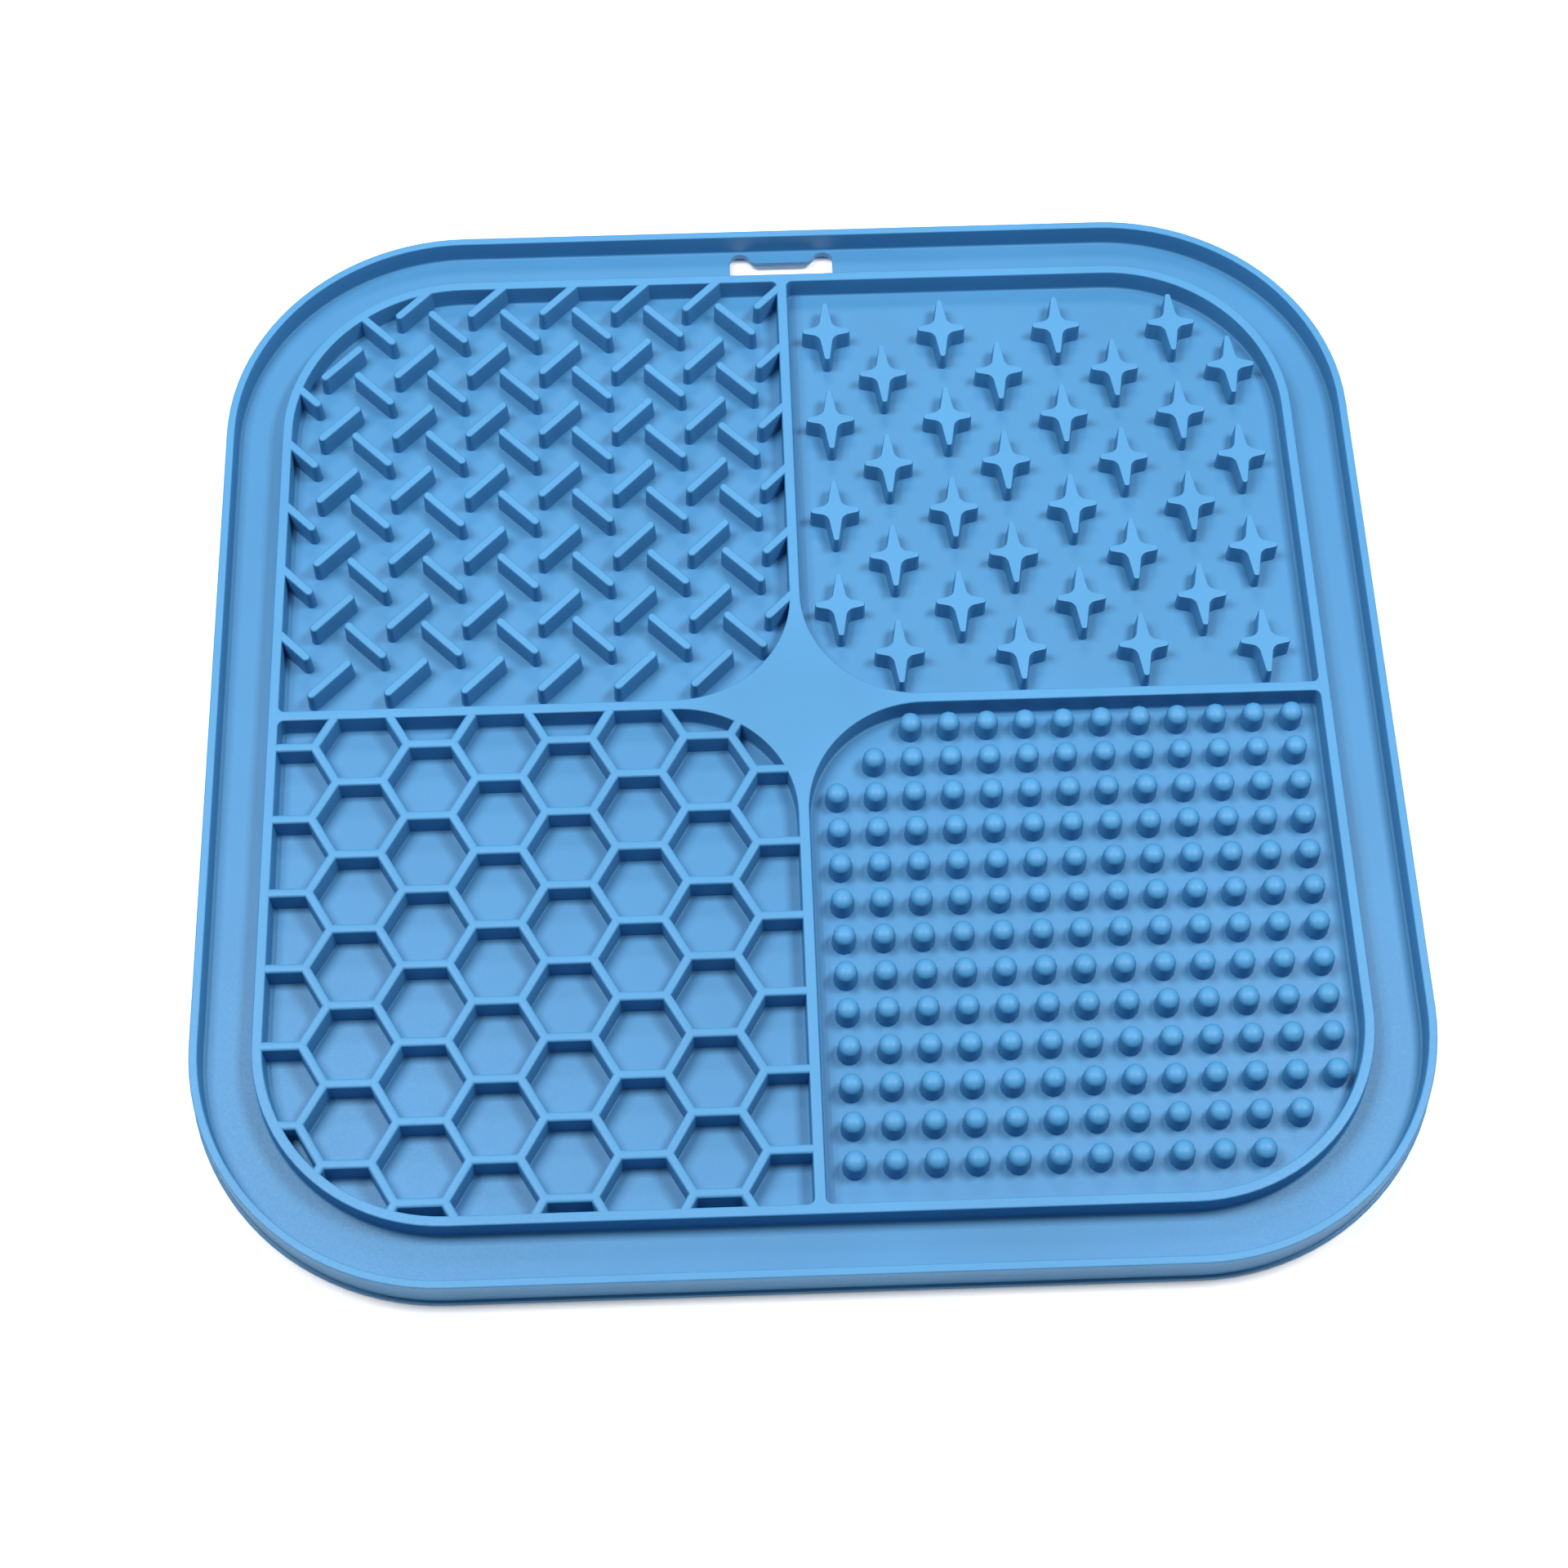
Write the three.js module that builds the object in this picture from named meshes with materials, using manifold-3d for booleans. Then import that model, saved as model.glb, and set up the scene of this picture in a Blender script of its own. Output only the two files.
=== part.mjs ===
// Lick mat: a square silicone tray with four textured quarters inside a spill gutter.
// Millimetres, +Z up. The origin is the middle of the foot, on the surface it lies on,
// and +Y points to the edge with the hanging slot.
import * as THREE from 'three';
import { mergeGeometries, mergeVertices } from 'three/addons/utils/BufferGeometryUtils.js';
import Module from 'manifold-3d';

const wasm = await Module();
wasm.setup();

// Driving sizes of the tray
const overallSide = 200;
const baseHeight = 2.5;
const wallHeight = 4.4;
const lipWidth = 0.5;
const lipHeight = 1.0;
const rimThickness = 1.45;
const gutterWidth = 8.6;
const ringThickness = 1.55;
const cornerCentre = 58;

// Driving sizes of the cross and of the pad where its arms meet
const crossX = -0.2;
const crossY = 0.8;
const crossThickness = 1.6;
const padRadius = 20;
const cornerFillet = 1.0;

// Driving sizes of the bars in the back left quarter
const barPitch = 12.95;
const barLength = 9.8;
const barWidth = 1.4;
const risingBar = { x: -65.8, y: 72.25, turn: Math.PI / 4 };
const fallingBar = { x: -60.3, y: 66.45, turn: -Math.PI / 4 };
const barRows = { first: -5, last: 1 };
const barColumns = { first: -2, last: 5 };

// Driving sizes of the stars in the back right quarter
const starPitchX = 20.8;
const starPitchY = 9.53;
const starShift = 9.85;
const starFirst = { x: 7.1, y: 76.6 };
const starRows = 8;
const starsInRow = 4;
const starHalfWidth = 4.15;
const starHalfLength = 6.25;
const starWaist = { x: 1.4, y: 1.3 };

// Driving sizes of the honeycomb in the front left quarter
const cellSide = 7.73;
const cellWall = 1.4;
const cellFirst = { x: -73.7, y: -18.5 };
const cellRows = { first: -5, last: 2 };
const cellColumns = { first: -1, last: 6 };
const smallestCellArea = 3;

// Driving sizes of the pins in the front right quarter
const pinPitch = 6.44;
const pinRadius = 1.83;
const pinTopRadius = 1.0;
const pinShoulder = 3.3;
const pinFirst = { x: 5.37, y: -3.18 };
const pinsInRow = 13;
const pinsOffCorner = 2;
const pinSides = 6;

// Driving sizes of the hanging slot, which has the outline of a bone
const slotLobe = { x: 7.6, y: 1.75, radius: 1.85 };
const slotShank = { x: 4.6, y: 1.55 };
const slotEnd = { x: 9.2, y: 0 };
const slotFloor = 1.0;
const recessHalf = { x: 12.3, y: 4.2 };
const recessRadius = 3;

// How finely the arcs are cut
const cornerSteps = 8;
const padSteps = 6;
const smallSteps = 2;
const lobeSteps = 4;

// Heights and half sizes that follow from the driving sizes
const topHeight = baseHeight + wallHeight;
const overTop = topHeight + 2;
const underFoot = -2;
const rootHeight = baseHeight - 0.6;
const footHalf = overallSide / 2;
const rimHalf = footHalf - lipWidth;
const gutterOuterHalf = rimHalf - rimThickness;
const ringOuterHalf = gutterOuterHalf - gutterWidth;
const ringInnerHalf = ringOuterHalf - ringThickness;
const slotY = (gutterOuterHalf + ringOuterHalf) / 2;

// The signs of x and y in the four quarters of a plan, counter-clockwise
const quarterSigns = [[1, 1], [-1, 1], [-1, -1], [1, -1]];
const rightAngle = Math.PI / 2;

// Points along an arc, from one angle to another
function arcPoints(x, y, radius, from, to, steps) {
  const points = [];
  for (let i = 0; i <= steps; i += 1) {
    const angle = from + ((to - from) * i) / steps;
    points.push(new THREE.Vector2(x + radius * Math.cos(angle), y + radius * Math.sin(angle)));
  }
  return points;
}

// A rectangle with round corners, centred on the origin
function roundedRectangle(halfX, halfY, radius, steps) {
  const corners = quarterSigns.map(([signX, signY], i) => {
    const x = signX * (halfX - radius);
    const y = signY * (halfY - radius);
    return arcPoints(x, y, radius, i * rightAngle, (i + 1) * rightAngle, steps);
  });
  return new THREE.Shape(corners.flat());
}

// A square whose corners share their centres with every other square of the tray
function traySquare(half) {
  return roundedRectangle(half, half, half - cornerCentre, cornerSteps);
}

// An outline raised from one height to another
function raised(shape, low, high) {
  const geometry = new THREE.ExtrudeGeometry(shape, { depth: high - low, bevelEnabled: false });
  return geometry.translate(0, 0, low);
}

// A closed solid from one or more geometries that stand apart
function solid(...geometries) {
  const bare = geometries.map((geometry) => {
    const copy = geometry.index ? geometry.toNonIndexed() : geometry.clone();
    copy.deleteAttribute('normal');
    copy.deleteAttribute('uv');
    return copy;
  });
  const welded = mergeVertices(mergeGeometries(bare), 1e-4);
  return new wasm.Manifold(
    new wasm.Mesh({
      numProp: 3,
      vertProperties: new Float32Array(welded.attributes.position.array),
      triVerts: new Uint32Array(welded.index.array),
    }),
  );
}

// The plan of one quarter, drawn in the back right and mirrored into its place: an arc
// beside the pad, another at the mat's corner, and fillets where the cross meets the ring
function quarterShape(signX, signY) {
  const nearX = signX * crossX + crossThickness / 2;
  const nearY = signY * crossY + crossThickness / 2;
  const far = ringInnerHalf - cornerFillet;
  const cornerRadius = ringInnerHalf - cornerCentre;
  const padCentre = { x: nearX + padRadius, y: nearY + padRadius };
  const points = [
    ...arcPoints(padCentre.x, padCentre.y, padRadius, 2 * rightAngle, 3 * rightAngle, padSteps),
    ...arcPoints(far, nearY + cornerFillet, cornerFillet, 3 * rightAngle, 4 * rightAngle, smallSteps),
    ...arcPoints(cornerCentre, cornerCentre, cornerRadius, 0, rightAngle, cornerSteps),
    ...arcPoints(nearX + cornerFillet, far, cornerFillet, rightAngle, 2 * rightAngle, smallSteps),
  ];
  return new THREE.Shape(points.map((p) => new THREE.Vector2(p.x * signX, p.y * signY)));
}

// The foot lip and the body above it, still without any hollow
function trayBlock() {
  const foot = solid(raised(traySquare(footHalf), 0, lipHeight));
  const body = solid(raised(traySquare(rimHalf), 0, topHeight));
  return foot.add(body);
}

// The gutter between the rim and the ring wall
function gutter() {
  const outer = solid(raised(traySquare(gutterOuterHalf), baseHeight, overTop));
  const inner = solid(raised(traySquare(ringOuterHalf), underFoot, overTop + 1));
  return outer.subtract(inner);
}

// One quarter's hollow, down to the floor
function pocket(signX, signY) {
  return solid(raised(quarterShape(signX, signY), baseHeight, overTop));
}

// A bar with pointed ends, standing on the floor
function barGeometry(place, column, row) {
  const half = barWidth / 2;
  const straight = barLength / 2 - half;
  const shape = new THREE.Shape([
    new THREE.Vector2(straight, -half),
    new THREE.Vector2(straight + half, 0),
    new THREE.Vector2(straight, half),
    new THREE.Vector2(-straight, half),
    new THREE.Vector2(-straight - half, 0),
    new THREE.Vector2(-straight, -half),
  ]);
  const bar = raised(shape, rootHeight, topHeight).rotateZ(place.turn);
  return bar.translate(place.x + column * barPitch, place.y + row * barPitch, 0);
}

// Rising and falling bars in turn, each ending inside the wall that it runs into
function bars() {
  const rising = [];
  const falling = [];
  for (let column = barColumns.first; column <= barColumns.last; column += 1) {
    for (let row = barRows.first; row <= barRows.last; row += 1) {
      rising.push(barGeometry(risingBar, column, row));
      if (row > barRows.first) falling.push(barGeometry(fallingBar, column, row));
    }
  }
  const insideRing = solid(raised(traySquare(ringInnerHalf + ringThickness / 2), 0, topHeight));
  const leftBack = new THREE.BoxGeometry(overallSide, overallSide, overTop);
  leftBack.translate(crossX - footHalf, crossY + footHalf, overTop / 2);
  const all = solid(...rising).add(solid(...falling));
  return all.intersect(insideRing).intersect(solid(leftBack));
}

// One star with four points, the longer ones to the back and front
function starGeometry(x, y) {
  const points = quarterSigns.flatMap(([signX, signY]) => {
    const sideTip = new THREE.Vector2(signX * starHalfWidth, 0);
    const endTip = new THREE.Vector2(0, signY * starHalfLength);
    const waist = new THREE.Vector2(signX * starWaist.x, signY * starWaist.y);
    return [signX * signY > 0 ? sideTip : endTip, waist];
  });
  return raised(new THREE.Shape(points), rootHeight, topHeight).translate(x, y, 0);
}

// Rows of stars, each second row moved across
function stars() {
  const all = [];
  for (let row = 0; row < starRows; row += 1) {
    const start = starFirst.x + (row % 2) * starShift;
    for (let column = 0; column < starsInRow; column += 1) {
      all.push(starGeometry(start + column * starPitchX, starFirst.y - row * starPitchY));
    }
  }
  return solid(...all);
}

// The open cells of the honeycomb, cut off where they run out of their quarter
function honeycombCells() {
  const columnPitch = 1.5 * cellSide;
  const rowPitch = Math.sqrt(3) * cellSide;
  const openRadius = cellSide - cellWall / Math.sqrt(3);
  const cells = [];
  for (let column = cellColumns.first; column <= cellColumns.last; column += 1) {
    const start = cellFirst.y - (Math.abs(column % 2) * rowPitch) / 2;
    for (let row = cellRows.first; row <= cellRows.last; row += 1) {
      const x = cellFirst.x + column * columnPitch;
      const cell = arcPoints(x, start + row * rowPitch, openRadius, 0, (5 * Math.PI) / 3, 5);
      cells.push(raised(new THREE.Shape(cell), baseHeight, overTop));
    }
  }
  const pieces = solid(...cells).intersect(pocket(-1, -1)).decompose();
  const leastVolume = smallestCellArea * (overTop - baseHeight);
  const kept = pieces.filter((piece) => piece.volume() > leastVolume);
  return kept.reduce((all, piece) => all.add(piece));
}

// One pin with a rounded top, standing on the floor
function pinGeometry(x, y) {
  const profile = [
    new THREE.Vector2(0, rootHeight),
    new THREE.Vector2(pinRadius, rootHeight),
    new THREE.Vector2(pinRadius, baseHeight + pinShoulder),
    new THREE.Vector2(pinTopRadius, topHeight),
    new THREE.Vector2(0, topHeight),
  ];
  const lathe = new THREE.LatheGeometry(profile, pinSides);
  return lathe.rotateX(rightAngle).translate(x, y, 0);
}

// A square grid of pins, with none at the pad and at the mat's corner
function pins() {
  const all = [];
  const last = 2 * (pinsInRow - 1) - pinsOffCorner;
  for (let row = 0; row < pinsInRow; row += 1) {
    for (let column = 0; column < pinsInRow; column += 1) {
      const inside = row + column >= pinsOffCorner && row + column <= last;
      if (inside) all.push(pinGeometry(pinFirst.x + column * pinPitch, pinFirst.y - row * pinPitch));
    }
  }
  return solid(...all);
}

// The bone outline of the hanging slot, each quarter mirrored from the first
function slotCut() {
  const lobe = arcPoints(slotLobe.x, slotLobe.y, slotLobe.radius, 0, (5 * Math.PI) / 6, lobeSteps);
  const quarter = [slotEnd, ...lobe, slotShank];
  const points = quarterSigns.flatMap(([signX, signY]) => {
    const run = signX * signY > 0 ? quarter : quarter.slice(1).reverse();
    return run.map((p) => new THREE.Vector2(p.x * signX, p.y * signY));
  });
  return solid(raised(new THREE.Shape(points), underFoot, overTop).translate(0, slotY, 0));
}

// A shallow recess under the slot, which leaves a thin floor around it
function slotRecess() {
  const shape = roundedRectangle(recessHalf.x, recessHalf.y, recessRadius, smallSteps);
  return solid(raised(shape, underFoot, baseHeight - slotFloor).translate(0, slotY, 0));
}

// The whole mat as one solid
function matSolid() {
  const hollows = [
    gutter(),
    pocket(-1, 1),
    pocket(1, 1),
    pocket(1, -1),
    honeycombCells(),
    slotCut(),
    slotRecess(),
  ];
  const tray = hollows.reduce((body, hollow) => body.subtract(hollow), trayBlock());
  return tray.add(bars()).add(stars()).add(pins());
}

// Blue silicone, moulded with a soft satin surface
function siliconeMaterial() {
  return new THREE.MeshStandardMaterial({ color: 0x5fa8e2, roughness: 0.55, metalness: 0 });
}

function matMesh() {
  const mesh = matSolid().getMesh();
  const geometry = new THREE.BufferGeometry();
  geometry.setAttribute('position', new THREE.BufferAttribute(mesh.vertProperties, 3));
  geometry.setIndex(new THREE.BufferAttribute(mesh.triVerts, 1));
  geometry.computeVertexNormals();
  const part = new THREE.Mesh(geometry, siliconeMaterial());
  part.name = 'mat';
  return part;
}

const group = new THREE.Group();
group.name = 'lick_mat';
group.add(matMesh());

export default group;
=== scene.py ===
"""Lick mat: the looks of a moulded silicone mat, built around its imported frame.

Metres, +Z up. The mat lies flat on the floor, with the hanging slot to the back, at +Y.
"""

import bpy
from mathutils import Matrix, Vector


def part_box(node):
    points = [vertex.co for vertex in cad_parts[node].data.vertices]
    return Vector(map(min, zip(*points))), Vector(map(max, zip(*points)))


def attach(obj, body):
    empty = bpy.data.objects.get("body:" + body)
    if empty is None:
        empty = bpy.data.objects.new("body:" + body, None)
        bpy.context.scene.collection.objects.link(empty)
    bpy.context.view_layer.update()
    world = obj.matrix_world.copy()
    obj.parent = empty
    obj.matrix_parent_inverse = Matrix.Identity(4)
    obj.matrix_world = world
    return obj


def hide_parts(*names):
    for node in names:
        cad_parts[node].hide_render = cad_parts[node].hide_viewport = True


bl_info = {
    "name": "Lick mat",
    "version": (1, 0, 0),
    "blender": (4, 5, 0),
    "location": "3D View > Sidebar > Lick mat",
    "description": "Adds a moulded silicone lick mat and a plain stage for it",
    "category": "Add Mesh",
}

import math

import bmesh
import bpy
from mathutils import Vector

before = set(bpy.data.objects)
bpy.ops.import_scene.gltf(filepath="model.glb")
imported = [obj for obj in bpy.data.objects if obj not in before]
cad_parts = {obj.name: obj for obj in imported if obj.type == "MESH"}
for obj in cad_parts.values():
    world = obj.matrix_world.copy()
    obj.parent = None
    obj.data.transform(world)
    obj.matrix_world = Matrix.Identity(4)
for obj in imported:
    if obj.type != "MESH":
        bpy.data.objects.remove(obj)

MM = 0.001
NODE = "mat"
BODY = "root"
LOW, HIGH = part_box(NODE)

# The signs of X and Y in each quarter of the mat
QUARTERS = ((1, 1), (-1, 1), (-1, -1), (1, -1))

# Two places closer than a hair are the same, and a step of a hair's width doesn't show
HAIR = 0.01 * MM

# Neighbouring corners of a small outline that are closer than this become one
MERGE = 0.06 * MM

# The foot lip is bevelled by this much at its foot, and rounded by as much at its top
LIP_EDGE = 0.15 * MM

# Rounding of the slot's ends, and of the necks between its lobes and its shank
SLOT_END = 0.6 * MM
SLOT_NECK = 0.8 * MM

# Bars and honeycomb walls that meet a wall around their quarter reach this far into it
INTO_WALL = 0.7 * MM

# Edges in a wide corner of the tray, a corner of the slot, a small round corner and a star's tip
WIDE_CORNER = 24
SLOT_CORNER = 6
SMALL_CORNER = 5
TIP_CORNER = 3

# Steps round an edge or a foot: a bar's top, most walls, and a star's top or a honeycomb wall's foot
FINE_EDGE = 4
PLAIN_EDGE = 3
COARSE_EDGE = 2

# Edges round a pin, and rings from pole to pole of the sphere that its dome is cut from
PIN_SIDES = 12
PIN_RINGS = 8

# A star's tip is rounded over this share of its half width
TIP_SHARE = 0.9

# Rows and columns of pins are counted from 0, from the pad and from the mat's corner alike. A pin
# is left out where its row and column add up to less than this.
PINS_OFF = 2

# The outline of a quarter has more corners than this
MANY_CORNERS = 40

# Faces that meet at less than this angle are shaded as one round surface
SMOOTH_ANGLE = math.radians(35)

# Rows and columns of the patterns: the bars and cells run past their quarter and are cut off there
BAR_COLUMNS = range(-2, 6)
RISING_ROWS = range(-5, 2)
FALLING_ROWS = range(-4, 2)
STAR_COLUMNS = range(4)
STAR_ROWS = range(8)
CELL_COLUMNS = range(-2, 8)
CELL_ROWS = range(-6, 3)

# A noise texture's values lie mostly between these two
NOISE_LOW = 0.3
NOISE_HIGH = 0.7

# Sockets of a colour mix: its two colours and its result
FIRST_COLOUR = 6
SECOND_COLOUR = 7
MIXED_COLOUR = 2

# Each lamp hangs level and shines down: its name, place, width and depth in metres, and watts
LAMPS = (
    ("strip_left", (-0.22, 0.03, 0.585), (0.04, 0.26), 1.42),
    ("panel_left", (-0.33, 0.06, 0.55), (0.14, 0.2), 1.52),
    ("strip_right", (0.2, -0.02, 0.5), (0.04, 0.2), 0.76),
    ("panel_right", (0.31, 0.06, 0.55), (0.12, 0.2), 2.3),
    ("panel_top", (-0.12, 0.06, 0.55), (0.08, 0.2), 0.6),
    ("panel_back", (0, 0.55, 0.58), (0.3, 0.2), 1.4),
)


def linear(code):
    """The linear colour of an sRGB hex code such as 5FA8E2, with full alpha."""
    channels = [int(code[i:i + 2], 16) / 255 for i in (0, 2, 4)]
    curved = [c / 12.92 if c <= 0.04045 else ((c + 0.055) / 1.055) ** 2.4 for c in channels]
    return (*curved, 1.0)


def length(name, description, millimetres):
    """A length that a user can change, given in millimetres."""
    return bpy.props.FloatProperty(
        name=name, description=description, default=millimetres * MM, unit="LENGTH", precision=5
    )


def number(name, description, value):
    """A number without a unit that a user can change."""
    return bpy.props.FloatProperty(name=name, description=description, default=value, min=0)


def colour(name, description, code):
    """A colour that a user can change, given as an sRGB hex code."""
    return bpy.props.FloatVectorProperty(
        name=name, description=description, default=linear(code), subtype="COLOR", size=4
    )


class TraySizes(bpy.types.PropertyGroup):
    """Sizes of the tray: its plate, rim, gutter, ring wall, cross and slot."""

    side: length("Side", "Side of the square foot", (HIGH.x - LOW.x) / MM)
    height: length("Height", "Height of the mat over the floor", (HIGH.z - LOW.z) / MM)
    base: length("Base", "Thickness of the plate under the textures", 2.5)
    lip_width: length("Lip width", "How far the foot lip sticks out", 0.5)
    lip_height: length("Lip height", "Height of the foot lip", 1.0)
    draft: length("Draft", "How far a wall leans over its height", 0.1)
    rim: length("Rim", "Thickness of the rim at its top", 1.4)
    gutter: length("Gutter", "Width of the spill gutter between the wall tops", 8.5)
    ring: length("Ring", "Thickness of the ring wall at its top", 1.7)
    corner_centre: length("Corner centre", "Distance of each corner's centre from both middles", 58.0)
    cross_x: length("Cross X", "Place of the wall between left and right", -0.2)
    cross_y: length("Cross Y", "Place of the wall between back and front", 0.8)
    cross: length("Cross", "Thickness of the cross walls", 1.8)
    pad_radius: length("Pad radius", "Radius of the quarters' corners at the pad", 20.0)
    fillet: length("Fillet", "Radius of the quarters' other corners", 1.0)
    edge: length("Edge", "Rounding of the wall tops", 0.25)
    foot: length("Foot", "Rounding where a wall meets a floor", 0.4)
    slot_y: length("Slot Y", "Distance of the hanging slot from the middle", 93.75)
    slot_lobe: length("Slot lobe", "Radius of the slot's four lobes", 1.85)
    slot_lobe_x: length("Slot lobe X", "Distance of a lobe from the slot's middle, side to side", 7.6)
    slot_lobe_y: length("Slot lobe Y", "Distance of a lobe from the slot's middle, back to front", 1.75)
    slot_shank: length("Slot shank", "Half the width of the slot between its lobes", 1.55)
    slot_floor: length("Slot floor", "Thickness of the floor around the slot", 1.0)
    recess_x: length("Recess X", "Half the length of the recess under the slot", 12.3)
    recess_y: length("Recess Y", "Half the width of the recess under the slot", 4.2)
    recess_radius: length("Recess radius", "Radius of the recess's corners", 3.0)


class TextureSizes(bpy.types.PropertyGroup):
    """Sizes of the bars, stars, honeycomb and pins."""

    bar_length: length("Bar length", "Length of a bar at its foot", 10.15)
    bar_width: length("Bar width", "Width of a bar at its foot", 1.9)
    bar_draft: length("Bar draft", "How far a bar's sides lean in", 0.2)
    bar_pitch: length("Bar pitch", "Distance between bars of one kind", 12.95)
    bar_crown: length("Bar rounding", "Rounding of a bar's top", 0.35)
    rising_x: length("Rising X", "Place of one rising bar, side to side", -66.55)
    rising_y: length("Rising Y", "Place of one rising bar, back to front", 72.56)
    falling_x: length("Falling X", "Place of one falling bar, side to side", -60.67)
    falling_y: length("Falling Y", "Place of one falling bar, back to front", 66.92)
    star_length: length("Star length", "Tip to tip of a star's foot, back to front", 12.6)
    star_width: length("Star width", "Tip to tip of a star's foot, side to side", 8.75)
    star_tip: length("Star tip", "Half the width of a star's tips at its foot", 0.72)
    star_draft: length("Star draft", "How far the sides of a star's arms lean over their height", 0.36)
    star_lean: length("Star lean", "How far the ends of a star's arms lean over their height", 0.12)
    star_waist_x: length("Star waist X", "Distance of the waist from the middle, side to side", 1.52)
    star_waist_y: length("Star waist Y", "Distance of the waist from the middle, back to front", 1.36)
    star_fillet: length("Star fillet", "How far the waist's rounding reaches along the arms", 0.7)
    star_drop: length("Star drop", "How far the stars' tops lie below the walls' tops", 0.5)
    star_edge: length("Star edge", "Rounding of a star's top edge", 0.22)
    star_x: length("Star X", "Place of the first star, side to side", 7.5)
    star_y: length("Star Y", "Place of the first star, back to front", 76.89)
    star_pitch_x: length("Star pitch X", "Distance between stars in a row", 20.8)
    star_pitch_y: length("Star pitch Y", "Distance between rows of stars", 9.53)
    star_shift: length("Star shift", "How far each second row is moved across", 9.85)
    cell_side: length("Cell side", "Side of a honeycomb cell, wall middle to wall middle", 7.73)
    cell_x: length("Cell X", "Place of one honeycomb cell, side to side", -73.8)
    cell_y: length("Cell Y", "Place of one honeycomb cell, back to front", -18.5)
    cell_wall: length("Cell wall", "Thickness of the honeycomb walls at their tops", 1.6)
    cell_crown: length("Cell rounding", "Rounding of the honeycomb walls' tops", 0.45)
    cell_foot: length("Cell foot", "Rounding where a honeycomb wall meets the floor", 0.15)
    pin_x: length("Pin X", "Place of the first pin, side to side", 5.5)
    pin_y: length("Pin Y", "Place of the first pin, back to front", -3.43)
    pin_pitch: length("Pin pitch", "Distance between pins", 6.44)
    pin_radius: length("Pin radius", "Radius of a pin at its shoulder", 1.88)
    pin_dome: length("Pin dome", "Height of a pin's dome", 1.3)
    pin_flare: length("Pin flare", "How much wider a pin is at its foot", 0.2)
    pins: bpy.props.IntProperty(name="Pins", description="Pins in a full row", default=13, min=1)
    root: length("Root", "How far the textures reach into the plate", 0.3)
    below_top: length("Below top", "How far the textures' tops lie below the wall tops", 0.03)


class FinishSettings(bpy.types.PropertyGroup):
    """Colours and grain of the silicone, and the painted highlight on its wall tops."""

    silicone: colour("Silicone", "Colour of the silicone", "4182B1")
    # Painted highlight: this tint and the five settings after it make the wall tops paler than the floor
    # and the pad, standing in for light that gets into the thin walls
    painted_light_tint: colour("Painted highlight", "Colour of the silicone along the thin walls' tops", "488DBF")
    painted_light_from: length("Painted highlight from", "Height from which the walls turn paler", 4.0)
    painted_light_full: length("Painted highlight full", "Height at which the walls are palest", 6.8)
    pad_near: length("Pad near", "Distance from the pad's middle within which it stays darkest", 10.0)
    pad_far: length("Pad far", "Distance from the pad's middle past which walls are fully pale", 24.0)
    pad_tint: number("Pad tint", "Share of the paler tint that the pad's middle keeps", 0.5)
    cloud: length("Cloud", "Size of the pigment's clouds", 25.0)
    cloud_depth: number("Cloud depth", "How much lighter or darker a cloud is", 0.04)
    grain: length("Grain", "Size at which the mould's grain is drawn", 0.4)
    grain_depth: length("Grain depth", "Depth of the grain", 0.03)
    grain_strength: number("Grain strength", "How strongly the grain turns the light", 0.5)
    smoothest: number("Smoothest", "Roughness of the grain's smoothest spots", 0.44)
    roughest: number("Roughest", "Roughness of the grain's roughest spots", 0.54)
    ior: number("IOR", "Index of refraction of the silicone", 1.41)


class StageSettings(bpy.types.PropertyGroup):
    """Floor, light and camera."""

    sky: colour("Sky", "Colour of the soft light from all round", "E9EDF4")
    sky_strength: number("Sky strength", "Strength of the soft light from all round", 0.1)
    floor: colour("Floor", "Colour of the floor", "FCFCFC")
    floor_glow: number("Floor glow", "How strongly the bright paper shines by itself", 0.15)
    floor_side: length("Floor side", "Side of the square floor", 4000.0)
    floor_gap: length("Floor gap", "How far the floor lies below the mat's foot", 0.02)
    lens: number("Lens", "Focal length of the camera, in millimetres", 66.55)
    sensor: number("Sensor", "Width of the camera's sensor, in millimetres", 36.0)
    near_clip: length("Near clip", "Nearest distance that the camera sees", 10.0)
    camera_place: bpy.props.FloatVectorProperty(
        name="Camera place",
        description="Where the camera stands",
        default=(-11.79 * MM, -232.92 * MM, 435.77 * MM),
        subtype="TRANSLATION",
        unit="LENGTH",
    )
    camera_turn: bpy.props.FloatVectorProperty(
        name="Camera turn",
        description="The camera's rotation about X, Y and Z",
        default=(math.radians(26.968), math.radians(-0.110), math.radians(-2.009)),
        subtype="EULER",
        unit="ROTATION",
    )


def deselect():
    """Leaves nothing selected and no object active."""
    bpy.ops.object.select_all(action="DESELECT")
    bpy.context.view_layer.objects.active = None


def choose(piece):
    """Selects one object alone and makes it active."""
    deselect()
    piece.select_set(True)
    bpy.context.view_layer.objects.active = piece


def named(name):
    """The active object, given its name."""
    piece = bpy.context.object
    piece.name = name
    piece.data.name = name
    return piece


def pick(kind, test):
    """Selects, in edit mode, the vertices, edges or faces that pass a test, and no others."""
    bpy.ops.mesh.select_mode(type=kind)
    bpy.ops.mesh.select_all(action="DESELECT")
    mesh = bmesh.from_edit_mesh(bpy.context.object.data)
    found = {"VERT": mesh.verts, "EDGE": mesh.edges, "FACE": mesh.faces}[kind]
    for item in found:
        if test(item):
            item.select_set(True)
    mesh.select_flush_mode()
    bmesh.update_edit_mesh(bpy.context.object.data)


def middle(edge):
    """The middle of an edge."""
    return (edge.verts[0].co + edge.verts[1].co) / 2


def near(a, b):
    """True if two lengths are the same but for rounding."""
    return abs(a - b) < HAIR


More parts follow.
